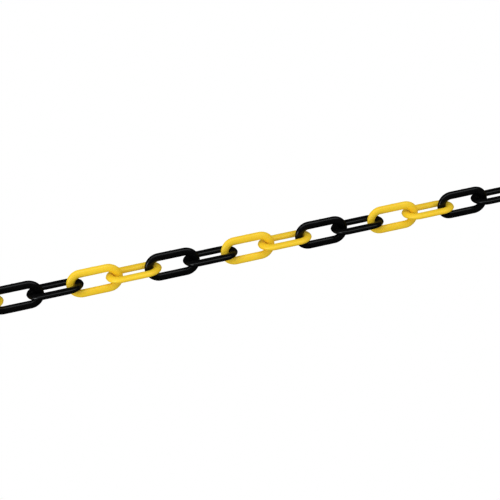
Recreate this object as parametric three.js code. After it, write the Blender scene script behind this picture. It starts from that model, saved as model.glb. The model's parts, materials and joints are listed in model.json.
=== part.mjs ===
// A straight length of plastic barrier chain, laid out on the ground.
//
// Every link is one closed loop of plastic wire: two straight arms joined by two half-round bows. The wire
// is oval, wider in the link's plane than it is thick.
// Each link is turned a quarter turn from the one before it, and the colour changes every two links.
// Laid down, a link leans 45 degrees one way and its neighbour 45 degrees the other way, so that each one
// rests on an arm. The chain runs along X, Z is up, and the origin is on the ground under its middle.
// Sizes are in millimetres.

import * as THREE from "three";
import { ParametricGeometry } from "three/addons/geometries/ParametricGeometry.js";

// Driving dimensions
const WIRE_WIDTH = 8; // in the link's plane
const WIRE_THICKNESS = 6; // square to the link's plane
const LINK_LENGTH = 54.5; // outside, along the chain
const LINK_WIDTH = 29; // outside, across the arms
const BEARING_GAP = 0.3; // left between two links where they pull on each other
const LINK_COUNT = 20;
const LINKS_PER_COLOUR = 2;
const LEAN = Math.PI / 4; // of a link's plane from the vertical

// Facets
const WIRE_SIDES = 16; // a flat side faces the link's middle, and another the ground
const BOW_STEPS = 9; // an odd number sets one step square across the end of the link
const LOOP_STEPS = 2 * (BOW_STEPS + 1); // both bows, and each arm as a single step

// Worked out from them
const sideAngle = (2 * Math.PI) / WIRE_SIDES; // from one flat side of the wire to the next
const bowRadius = (LINK_WIDTH - WIRE_WIDTH) / 2; // of the wire's centre line
const armLength = LINK_LENGTH - LINK_WIDTH;
const tipOfBow = Math.cos(Math.PI / (2 * BOW_STEPS)); // reach of the step across the end, for radius 1
const seat = armLength / 2 + (bowRadius - sideDistance(0)) * tipOfBow; // from link middle to bearing flat
const pitch = 2 * seat - BEARING_GAP;
const axisHeight = bowRadius * Math.cos(LEAN) + sideDistance(LEAN);

const blackPlastic = new THREE.MeshStandardMaterial({ color: 0x161616, roughness: 0.35, metalness: 0 });
const yellowPlastic = new THREE.MeshStandardMaterial({ color: 0xf4c61f, roughness: 0.4, metalness: 0 });
const finishes = [
  { colour: "black", material: blackPlastic },
  { colour: "yellow", material: yellowPlastic },
];

// How far from the wire's centre its flat side lies that faces this way. Facing 0 is out of the loop, in the
// link's plane, and a quarter turn is square to that plane.
function sideDistance(facing) {
  const oval = Math.hypot((WIRE_WIDTH / 2) * Math.cos(facing), (WIRE_THICKNESS / 2) * Math.sin(facing));
  return oval * Math.cos(sideAngle / 2);
}

// The corner of the wire where the side that faces this way meets the next one round.
function wireCorner(facing) {
  const next = facing + sideAngle;
  const here = sideDistance(facing);
  const there = sideDistance(next);
  return {
    out: (here * Math.sin(next) - there * Math.sin(facing)) / Math.sin(sideAngle),
    up: (there * Math.cos(facing) - here * Math.cos(next)) / Math.sin(sideAngle),
  };
}

// Where the loop's centre line is at one of its stations: which bow, and the angle round it from +X.
// The +X bow has the first stations, the -X bow the rest, and the steps between the two are the arms.
function stationOf(step) {
  const onFirstBow = step <= BOW_STEPS;
  const stepOnBow = onFirstBow ? step : step - BOW_STEPS - 1;
  return {
    bowCentre: onFirstBow ? armLength / 2 : -armLength / 2,
    angle: Math.PI * (stepOnBow / BOW_STEPS + (onFirstBow ? -0.5 : 0.5)),
  };
}

// The surface of a link that lies in its own XY plane: a point of the wire's outline at one station.
// Both numbers run from 0 to 1 and come back to where they started, so the surface closes on itself.
function linkSurface(alongLoop, roundWire, target) {
  const { bowCentre, angle } = stationOf(Math.round(alongLoop * LOOP_STEPS) % LOOP_STEPS);
  const corner = wireCorner(2 * Math.PI * roundWire);
  const reach = bowRadius + corner.out;
  target.set(bowCentre + reach * Math.cos(angle), reach * Math.sin(angle), corner.up);
}

function makeLink(index, geometry) {
  const finish = finishes[Math.floor(index / LINKS_PER_COLOUR) % finishes.length];
  const link = new THREE.Mesh(geometry, finish.material);
  link.name = `link_${String(index + 1).padStart(2, "0")}_${finish.colour}`;
  link.position.x = (index - (LINK_COUNT - 1) / 2) * pitch;
  link.rotation.x = index % 2 === 0 ? LEAN : -LEAN;
  return link;
}

const chain = new THREE.Group();
chain.name = "barrier_chain";
chain.position.z = axisHeight;
const geometry = new ParametricGeometry(linkSurface, LOOP_STEPS, WIRE_SIDES);
for (let index = 0; index < LINK_COUNT; index += 1) {
  chain.add(makeLink(index, geometry));
}

export default chain;
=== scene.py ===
"""A straight length of black and yellow plastic barrier chain, as it looks when it is strung out taut.

Each link is moulded in one piece: a loop of oval plastic wire with two straight arms and two half-round bows.
The fixed frame gives every link its place. What is added here is the smooth wire itself, with the marks that
the mould leaves on it, and the finish of the two plastics. Lengths are in metres.
"""

import json
import math

import bpy
import numpy as np
from mathutils import Matrix, Vector


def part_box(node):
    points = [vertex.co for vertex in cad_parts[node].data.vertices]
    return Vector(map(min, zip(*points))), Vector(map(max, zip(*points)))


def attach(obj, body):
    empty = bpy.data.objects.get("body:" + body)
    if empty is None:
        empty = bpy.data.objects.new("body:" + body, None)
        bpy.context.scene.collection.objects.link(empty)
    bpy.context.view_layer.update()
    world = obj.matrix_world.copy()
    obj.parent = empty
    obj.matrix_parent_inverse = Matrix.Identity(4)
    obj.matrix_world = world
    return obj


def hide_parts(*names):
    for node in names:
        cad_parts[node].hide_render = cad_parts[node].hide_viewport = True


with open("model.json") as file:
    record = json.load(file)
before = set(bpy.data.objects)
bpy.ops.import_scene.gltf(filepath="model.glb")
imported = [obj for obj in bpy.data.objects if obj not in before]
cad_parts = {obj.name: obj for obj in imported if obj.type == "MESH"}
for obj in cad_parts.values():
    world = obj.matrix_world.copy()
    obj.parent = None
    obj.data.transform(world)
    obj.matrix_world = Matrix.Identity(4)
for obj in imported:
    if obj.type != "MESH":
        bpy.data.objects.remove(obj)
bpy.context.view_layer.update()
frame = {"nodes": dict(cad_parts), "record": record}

MM = 0.001

# The link
HALF_WIDTH = 4 * MM  # of the wire, in the link's plane
HALF_THICKNESS = 3 * MM  # of the wire, square to that plane
LINK_LENGTH = 54.5 * MM
LINK_WIDTH = 29 * MM
BOW_RADIUS = LINK_WIDTH / 2 - HALF_WIDTH  # of the wire's centre line
ARM_LENGTH = LINK_LENGTH - LINK_WIDTH
LEAN = math.radians(45)  # of a link's plane from the vertical, one way and the other by turns

# What the mould leaves on it
FLASH_HEIGHT = 0.14 * MM  # the ridge where the two halves of the mould meet
FLASH_WIDTH = 0.3 * MM
GATE_LENGTH = 2.4 * MM  # the scar where the plastic went in
GATE_WIDTH = 1.3 * MM
GATE_HEIGHT = 0.25 * MM
PIN_RADIUS = 1.6 * MM  # the flats where the ejector pins pushed it out
PIN_DEPTH = 0.26 * MM
PIN_FROM_MIDDLE = 8 * MM
RIPPLE = 0.035 * MM  # slow unevenness from cooling
RIPPLE_TURNS = (2, 3, 5)  # how many waves of it go round the loop
RUB_REACH = 4.5 * MM  # how far round the bow's inside the neighbour rubs
RUB_DEPTH = 0.05 * MM

# How finely the wire is divided
BOW_STEP_DEG = 4.5
COARSE_STEP = 0.9 * MM
FINE_STEP = 0.35 * MM
SIDES = 40
SEAM_SIDES_DEG = (-4.6, -2.2, 2.2, 4.6)  # extra corners of the wire, close to each seam

# The two plastics: "deep" and "pale" are the ends of the pigment's slow drift, "mark" is a scratch.
YELLOW = {
    "deep": (0.89, 0.62, 0.032, 1),
    "pale": (0.92, 0.66, 0.045, 1),
    "mark": (0.93, 0.78, 0.32, 1),
    "mark_strength": 0.35,
    "dust_colour": (0.72, 0.70, 0.64, 1),
    "roughness": 0.34,
    "grain": 0.08,
    "peel": 0.25,
    "handling": 0.25,
    "dust": 0.05,
    "translucency": 0.12,
    "bleed": (1.0, 0.6, 0.1),
}
BLACK = {
    "deep": (0.0008, 0.0008, 0.0009, 1),
    "pale": (0.0022, 0.0022, 0.0024, 1),
    "mark": (0.09, 0.09, 0.092, 1),
    "mark_strength": 0.5,
    "dust_colour": (0.25, 0.24, 0.22, 1),
    "roughness": 0.25,
    "grain": 0.08,
    "peel": 0.25,
    "handling": 0.25,
    "dust": 0.04,
    "translucency": 0.0,
    "bleed": (0.1, 0.1, 0.1),
}
PLASTIC_IOR = 1.5

# The skin's patterns, as how many go to a metre
GRAIN_PER_METRE = 5200
PEEL_PER_METRE = 420
SHEEN_PATCHES_PER_METRE = 130
PIGMENT_PATCHES_PER_METRE = 60
SCRATCHES_PER_METRE = 1500
SCRATCH_STRETCH = (0.22, 1, 1)  # draws them out along the chain
SCUFF_PATCHES_PER_METRE = 95
DUST_SPECKS_PER_METRE = 900
SKIN_DEPTH = 0.04 * MM  # of the grain, the orange peel and the scratches
SKIN_STRENGTH = 0.35
BLEED_DISTANCE = 1.5 * MM  # how far light spreads inside translucent plastic

# The camera, which looks down at the middle of the chain from its near side
CAMERA_AZIMUTH = -27.638
CAMERA_ELEVATION = 67.659
CAMERA_ROLL = 13.813
CAMERA_DISTANCE = 0.987
CAMERA_LENS = 72  # millimetres, on a sensor 36 mm wide
SENSOR_WIDTH = 36
AIM = Vector((20.714, -2.412, 10.892)) * MM

# The studio. Floor and walls have one brightness as a light on the links and another where they are mirrored
# in them. White is one.
FLOOR_DROP = 0.3  # from the chain to the floor
FLOOR_SIZE = 30
FLOOR_LIGHT = 0.75
FLOOR_MIRRORED = 0.02
WALL_LIGHT = 0.7
WALL_MIRRORED = 0.055
SOFTBOX_COLOUR = (0.94, 0.985, 1.0)  # a little cool
KEY_SOFTBOX = {
    "azimuth": 180,
    "elevation": 82,
    "distance": 1.6,
    "size": (2.8, 0.75),
    "brightness": 1.8,
}
SIDE_SOFTBOX = {
    "azimuth": -72,
    "elevation": 22,
    "distance": 2.2,
    "size": (0.5, 1.3),
    "brightness": 7.2,
}
DISPLAY_GAMMA = 0.8  # deepens the shades between black and white


def link_middle(node):
    low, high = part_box(node)
    return (Vector(low) + Vector(high)) / 2


# ---------------------------------------------------------------------------------------------- link meshes


def arm_places():
    """Places along an arm, from one end to the other, closer together where there is a mark."""
    places = [-ARM_LENGTH / 2]
    marks = (-PIN_FROM_MIDDLE, 0, PIN_FROM_MIDDLE)
    while places[-1] < ARM_LENGTH / 2 - COARSE_STEP:
        near_mark = any(abs(places[-1] - mark) < PIN_RADIUS + COARSE_STEP for mark in marks)
        places.append(places[-1] + (FINE_STEP if near_mark else COARSE_STEP))
    return np.array(places)


def loop_stations():
    """Points on the loop's centre line, and the angle at each of the way out of the loop."""
    bow = np.radians(np.arange(-90, 90, BOW_STEP_DEG))
    arm = arm_places()
    middle = ARM_LENGTH / 2
    flat = np.full_like(arm, 1)
    x = np.concatenate([middle + BOW_RADIUS * np.cos(bow), -arm, -middle - BOW_RADIUS * np.cos(bow), arm])
    y = BOW_RADIUS * np.concatenate([np.sin(bow), flat, -np.sin(bow), -flat])
    out = np.concatenate([bow, flat * math.pi / 2, math.pi + bow, -flat * math.pi / 2])
    return x, y, out


def wire_angles():
    """Angles round the wire from its outer side, with more of them on the two seams."""
    even = np.arange(SIDES) * 2 * math.pi / SIDES
    seam = np.array(SEAM_SIDES_DEG)
    extra = np.radians(np.concatenate([seam, 180 + seam])) % (2 * math.pi)
    return np.sort(np.concatenate([even, extra]))


def bump(distance, reach):
    """One at no distance, falling smoothly to nothing at the reach."""
    return np.clip(1 - (distance / reach) ** 2, 0, 1) ** 2


def link_shape(seed):
    """The points of one link in its own plane, and how much each is rubbed by the neighbouring link."""
    dice = np.random.default_rng(seed)
    x, y, out = (column[:, None] for column in loop_stations())
    angle = wire_angles()[None, :]
    across = HALF_THICKNESS * np.sin(angle)  # distance from the seam's plane
    outer = np.cos(angle)

    inner_tip = ARM_LENGTH / 2 + BOW_RADIUS - HALF_WIDTH
    reach = HALF_WIDTH * outer
    surface = np.stack([x + reach * np.cos(out), y + reach * np.sin(out), across + 0 * x], axis=-1)
    to_tip = np.linalg.norm(surface - (inner_tip, 0, 0), axis=-1)
    to_other_tip = np.linalg.norm(surface + (inner_tip, 0, 0), axis=-1)
    rub = bump(np.minimum(to_tip, to_other_tip), RUB_REACH) * (outer < 0)

    swell = np.zeros(rub.shape)  # how far the skin stands off a plain oval
    along = np.arctan2(y, x)
    for turns in RIPPLE_TURNS:
        phase, side = dice.uniform(0, 2 * math.pi, 2)
        swell += RIPPLE / turns * np.sin(turns * along + phase) * (1 + 0.5 * np.cos(angle - side))
    swell += FLASH_HEIGHT * bump(across, FLASH_WIDTH) * (1 - rub)
    swell -= RUB_DEPTH * rub
    on_gate = bump(x, GATE_LENGTH / 2) * bump(across, GATE_WIDTH / 2) * (outer > 0) * (y > 0)
    swell += GATE_HEIGHT * np.clip(2 * on_gate, 0, 1)

    reach = (HALF_WIDTH + swell) * outer
    height = (HALF_THICKNESS + swell) * np.sin(angle)
    points = np.stack([x + reach * np.cos(out), y + reach * np.sin(out), height], axis=-1)
    for pin_x in (-PIN_FROM_MIDDLE, PIN_FROM_MIDDLE):
        for pin_y in (-BOW_RADIUS, BOW_RADIUS):
            from_pin = np.hypot(points[..., 0] - pin_x, points[..., 1] - pin_y)
            under_pin = (from_pin < PIN_RADIUS) & (points[..., 2] < PIN_DEPTH - HALF_THICKNESS)
            points[..., 2] = np.where(under_pin, PIN_DEPTH - HALF_THICKNESS, points[..., 2])
    return points, rub


def make_link(node, seed, lean, plastic):
    """One link as a closed mesh at its place in the chain."""
    points, rub = link_shape(seed)
    stations, sides = rub.shape
    turned = points.reshape(-1, 3) @ np.array(Matrix.Rotation(lean, 3, "X")).T + np.array(link_middle(node))
    faces = []
    for station in range(stations):
        following = (station + 1) % stations
        for side in range(sides):
            beside = (side + 1) % sides
            corners = (station * sides + side, following * sides + side)
            faces.append(corners + (following * sides + beside, station * sides + beside))
    mesh = bpy.data.meshes.new(node + "_wire")
    mesh.from_pydata(turned.tolist(), [], faces)
    mesh.polygons.foreach_set("use_smooth", [True] * len(faces))
    rubbed = mesh.attributes.new("rubbed", "FLOAT", "POINT")
    rubbed.data.foreach_set("value", rub.ravel().astype(np.float32))
    mesh.materials.append(plastic)
    mesh.update()
    link = bpy.data.objects.new(node + "_wire", mesh)
    bpy.context.scene.collection.objects.link(link)
    return link


# ------------------------------------------------------------------------------------------------ materials


class Nodes:
    """A small helper that adds nodes to a tree and links them as they are made."""

    def __init__(self, tree):
        self.tree = tree

    def add(self, kind, inputs=None, **settings):
        node = self.tree.nodes.new(kind)
        for name, value in settings.items():
            setattr(node, name, value)
        for name, value in (inputs or {}).items():
            socket = node.inputs[name]
            if isinstance(value, bpy.types.NodeSocket):
                self.tree.links.new(value, socket)
            else:
                socket.default_value = value
        return node

    def math(self, operation, first, second=0.0, clamp=False):
        node = self.add("ShaderNodeMath", {0: first, 1: second}, operation=operation, use_clamp=clamp)
        return node.outputs[0]

    def noise(self, vector, scale, detail=2.0, roughness=0.5):
        inputs = {"Vector": vector, "Scale": scale, "Detail": detail, "Roughness": roughness}
        return self.add("ShaderNodeTexNoise", inputs).outputs["Fac"]

    def remap(self, value, low, high, to_low=0.0, to_high=1.0):
        inputs = {"Value": value, "From Min": low, "From Max": high, "To Min": to_low, "To Max": to_high}
        return self.add("ShaderNodeMapRange", inputs).outputs["Result"]

    def mix_colour(self, factor, first, second):
        node = self.add("ShaderNodeMix", data_type="RGBA", blend_type="MIX")
        for socket, value in ((node.inputs[0], factor), (node.inputs[6], first), (node.inputs[7], second)):
            if isinstance(value, bpy.types.NodeSocket):
                self.tree.links.new(value, socket)
            else:
                socket.default_value = value
        return node.outputs[2]


def new_group(name, inputs, outputs):
    """A shader node group with number inputs, a vector input called Vector, and number outputs."""
    tree = bpy.data.node_groups.new(name, "ShaderNodeTree")
    tree.interface.new_socket("Vector", in_out="INPUT", socket_type="NodeSocketVector")
    for label, default in inputs.items():
        socket = tree.interface.new_socket(label, in_out="INPUT", socket_type="NodeSocketFloat")
        socket.default_value = default
    for label in outputs:
        tree.interface.new_socket(label, in_out="OUTPUT", socket_type="NodeSocketFloat")
    nodes = Nodes(tree)
    return tree, nodes, nodes.add("NodeGroupInput").outputs, nodes.add("NodeGroupOutput").inputs


def moulded_skin_group():
    """The skin of moulded plastic: a fine satin grain over a slow orange peel."""
    inputs = {"Grain": 1.0, "Peel": 1.0}
    tree, nodes, given, made = new_group("Moulded skin", inputs, ["Height", "Sheen change"])
    grain = nodes.noise(given["Vector"], GRAIN_PER_METRE, 3.0, 0.6)
    peel = nodes.noise(given["Vector"], PEEL_PER_METRE, 2.0, 0.5)
    height = nodes.math("MULTIPLY", grain, given["Grain"])
    height = nodes.math("ADD", height, nodes.math("MULTIPLY", peel, given["Peel"]))
    tree.links.new(height, made["Height"])
    sheen = nodes.remap(nodes.noise(given["Vector"], SHEEN_PATCHES_PER_METRE, 3.0), 0.35, 0.65)
    tree.links.new(sheen, made["Sheen change"])
    return tree


def handling_group():
    """Fine scratches and scuffs from handling, mostly along the chain, with more where a neighbour rubs."""
    inputs = {"Amount": 0.3, "Rubbed": 0.0}
    tree, nodes, given, made = new_group("Handling marks", inputs, ["Mask", "Height"])
    stretch = {0: given["Vector"], 1: SCRATCH_STRETCH}
    stretched = nodes.add("ShaderNodeVectorMath", stretch, operation="MULTIPLY")
    streaks = nodes.noise(stretched.outputs[0], SCRATCHES_PER_METRE, 4.0, 0.65)
    patches = nodes.noise(given["Vector"], SCUFF_PATCHES_PER_METRE, 3.0, 0.6)
    wanted = nodes.math("ADD", given["Amount"], nodes.math("MULTIPLY", given["Rubbed"], 0.8))
    scratch = nodes.remap(streaks, 0.62, 0.7)
    patch = nodes.remap(nodes.math("ADD", patches, nodes.math("MULTIPLY", wanted, 0.25)), 0.56, 0.72)
    mask = nodes.math("MULTIPLY", nodes.math("MULTIPLY", scratch, patch), wanted, clamp=True)
    tree.links.new(mask, made["Mask"])
    tree.links.new(nodes.math("MULTIPLY", mask, -1.0), made["Height"])
    return tree


def dust_group():
    """A thin film of dust on what faces up at rest."""
    tree, nodes, given, made = new_group("Settled dust", {"Amount": 0.1}, ["Mask"])
    facing = nodes.add("ShaderNodeSeparateXYZ", {0: nodes.add("ShaderNodeTexCoord").outputs["Normal"]})
    upward = nodes.remap(facing.outputs["Z"], 0.1, 0.95)
    specks = nodes.remap(nodes.noise(given["Vector"], DUST_SPECKS_PER_METRE, 4.0, 0.7), 0.45, 0.75)
    mask = nodes.math("MULTIPLY", nodes.math("MULTIPLY", upward, specks), given["Amount"], clamp=True)
    tree.links.new(mask, made["Mask"])
    return tree


def plastic_material(name, groups, look):
    """Pigmented moulded plastic with a satin gloss."""
    material = bpy.data.materials.new(name)
    material.use_nodes = True
    tree = material.node_tree
    tree.nodes.clear()
    nodes = Nodes(tree)
    place = nodes.add("ShaderNodeTexCoord").outputs["Object"]
    rubbed = nodes.add("ShaderNodeAttribute", attribute_name="rubbed").outputs["Fac"]

    def group(kind, **inputs):
        return nodes.add("ShaderNodeGroup", {"Vector": place, **inputs}, node_tree=groups[kind]).outputs

    skin = group("skin", Grain=look["grain"], Peel=look["peel"])
    handling = group("handling", Amount=look["handling"], Rubbed=rubbed)
    dust = group("dust", Amount=look["dust"])

    pigment = nodes.remap(nodes.noise(place, PIGMENT_PATCHES_PER_METRE, 3.0), 0.3, 0.7)
    colour = nodes.mix_colour(pigment, look["deep"], look["pale"])
    marked = nodes.math("MULTIPLY", handling["Mask"], look["mark_strength"])
    colour = nodes.mix_colour(marked, colour, look["mark"])
    colour = nodes.mix_colour(dust["Mask"], colour, look["dust_colour"])

    glossy, dull = look["roughness"] - 0.03, look["roughness"] + 0.04
    roughness = nodes.remap(skin["Sheen change"], 0.0, 1.0, glossy, dull)
    roughness = nodes.math("ADD", roughness, nodes.math("MULTIPLY", handling["Mask"], 0.25))
    roughness = nodes.math("ADD", roughness, nodes.math("MULTIPLY", dust["Mask"], 0.5), clamp=True)

    height = nodes.math("ADD", skin["Height"], handling["Height"])
    bump_inputs = {"Strength": SKIN_STRENGTH, "Distance": SKIN_DEPTH, "Height": height}
    raised = nodes.add("ShaderNodeBump", bump_inputs).outputs["Normal"]
    surface = {"Base Color": colour, "Roughness": roughness, "Normal": raised}
    shader = nodes.add("ShaderNodeBsdfPrincipled", surface)
    shader.inputs["IOR"].default_value = PLASTIC_IOR
    shader.inputs["Subsurface Weight"].default_value = look["translucency"]
    shader.inputs["Subsurface Radius"].default_value = look["bleed"]
    shader.inputs["Subsurface Scale"].default_value = BLEED_DISTANCE
    output = nodes.add("ShaderNodeOutputMaterial")
    tree.links.new(shader.outputs["BSDF"], output.inputs["Surface"])
    return material


def link_plastics():
    groups = {"skin": moulded_skin_group(), "handling": handling_group(), "dust": dust_group()}
    return {
        "yellow_plastic": plastic_material("Yellow link plastic", groups, YELLOW),
        "black_plastic": plastic_material("Black link plastic", groups, BLACK),
    }


# --------------------------------------------------------------------------------------------------- studio


def camera_direction(azimuth, elevation):
    """From the object towards something that stands at this azimuth and elevation, in degrees."""
    turn, rise = math.radians(azimuth), math.radians(elevation)
    return Vector((math.sin(turn) * math.cos(rise), -math.cos(turn) * math.cos(rise), math.sin(rise)))


def add_camera():
    camera = bpy.data.objects.new("camera", bpy.data.cameras.new("camera"))
    camera.data.lens = CAMERA_LENS
    camera.data.sensor_width = SENSOR_WIDTH
    away = camera_direction(CAMERA_AZIMUTH, CAMERA_ELEVATION)
    level = (-away).to_track_quat("-Z", "Y").to_matrix().to_4x4()
    roll = Matrix.Rotation(math.radians(CAMERA_ROLL), 4, "Z")
    camera.matrix_world = Matrix.Translation(AIM + away * CAMERA_DISTANCE) @ level @ roll
    bpy.context.scene.collection.objects.link(camera)
    bpy.context.scene.camera = camera


def add_softbox(name, azimuth, elevation, distance, size, brightness):
    """A rectangular soft light that faces the middle of the chain. A brightness of one looks like white."""
    light = bpy.data.lights.new(name, "AREA")
    light.shape = "RECTANGLE"
    light.size, light.size_y = size
    width, height = size
    light.energy = brightness * math.pi * width * height
    light.color = SOFTBOX_COLOUR
    lamp = bpy.data.objects.new(name, light)
    lamp.visible_camera = False
    away = camera_direction(azimuth, elevation)
    lamp.location = AIM + away * distance
    lamp.rotation_mode = "QUATERNION"
    lamp.rotation_quaternion = away.to_track_quat("Z", "Y")
    bpy.context.scene.collection.objects.link(lamp)


def studio_strength(nodes, from_links, mirrored):
    """How bright the studio is: white to the camera, and what is asked for as a light and when mirrored."""
    path = nodes.add("ShaderNodeLightPath").outputs
    strength = nodes.remap(path["Is Glossy Ray"], 0.0, 1.0, from_links, mirrored)
    return nodes.math("MAXIMUM", strength, path["Is Camera Ray"])


def add_floor():
    """A pale floor, far enough below the chain to be lit evenly and to take no shadow from it."""
    material = bpy.data.materials.new("Pale studio floor")
    material.use_nodes = True
    tree = material.node_tree
    tree.nodes.clear()
    nodes = Nodes(tree)
    strength = studio_strength(nodes, FLOOR_LIGHT, FLOOR_MIRRORED)
    lit = nodes.add("ShaderNodeEmission", {"Color": (1, 1, 1, 1), "Strength": strength})
    output = nodes.add("ShaderNodeOutputMaterial")
    tree.links.new(lit.outputs[0], output.inputs["Surface"])
    material.cycles.emission_sampling = "NONE"
    mesh = bpy.data.meshes.new("floor")
    half = FLOOR_SIZE / 2
    corners = [(-half, -half, 0), (half, -half, 0), (half, half, 0), (-half, half, 0)]
    mesh.from_pydata(corners, [], [(0, 1, 2, 3)])
    mesh.materials.append(material)
    floor = bpy.data.objects.new("floor", mesh)
    floor.location.z = -FLOOR_DROP
    bpy.context.scene.collection.objects.link(floor)


def add_surround():
    """White walls for the camera, and a dim even light for the chain."""
    world = bpy.data.worlds.new("studio")
    world.use_nodes = True
    tree = world.node_tree
    tree.nodes.clear()
    nodes = Nodes(tree)
    strength = studio_strength(nodes, WALL_LIGHT, WALL_MIRRORED)
    light = nodes.add("ShaderNodeBackground", {"Color": (1, 1, 1, 1), "Strength": strength})
    output = nodes.add("ShaderNodeOutputWorld")
    tree.links.new(light.outputs[0], output.inputs["Surface"])
    world.cycles.sampling_method = "NONE"
    bpy.context.scene.world = world


# ---------------------------------------------------------------------------------------------------- build


def build_chain():
    plastics = link_plastics()
    slots = {part["node"]: part["material_slot"] for part in frame["record"]["subparts"]}
    for index, node in enumerate(sorted(frame["nodes"])):
        lean = LEAN if index % 2 == 0 else -LEAN
        link = make_link(node, index, lean, plastics[slots[node]])
        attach(link, node.rsplit("_", 1)[0])
        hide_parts(node)


add_camera()
build_chain()
add_floor()
add_surround()
add_softbox("key_softbox", **KEY_SOFTBOX)
add_softbox("side_softbox", **SIDE_SOFTBOX)
bpy.context.scene.view_settings.view_transform = "Standard"
bpy.context.scene.view_settings.gamma = DISPLAY_GAMMA
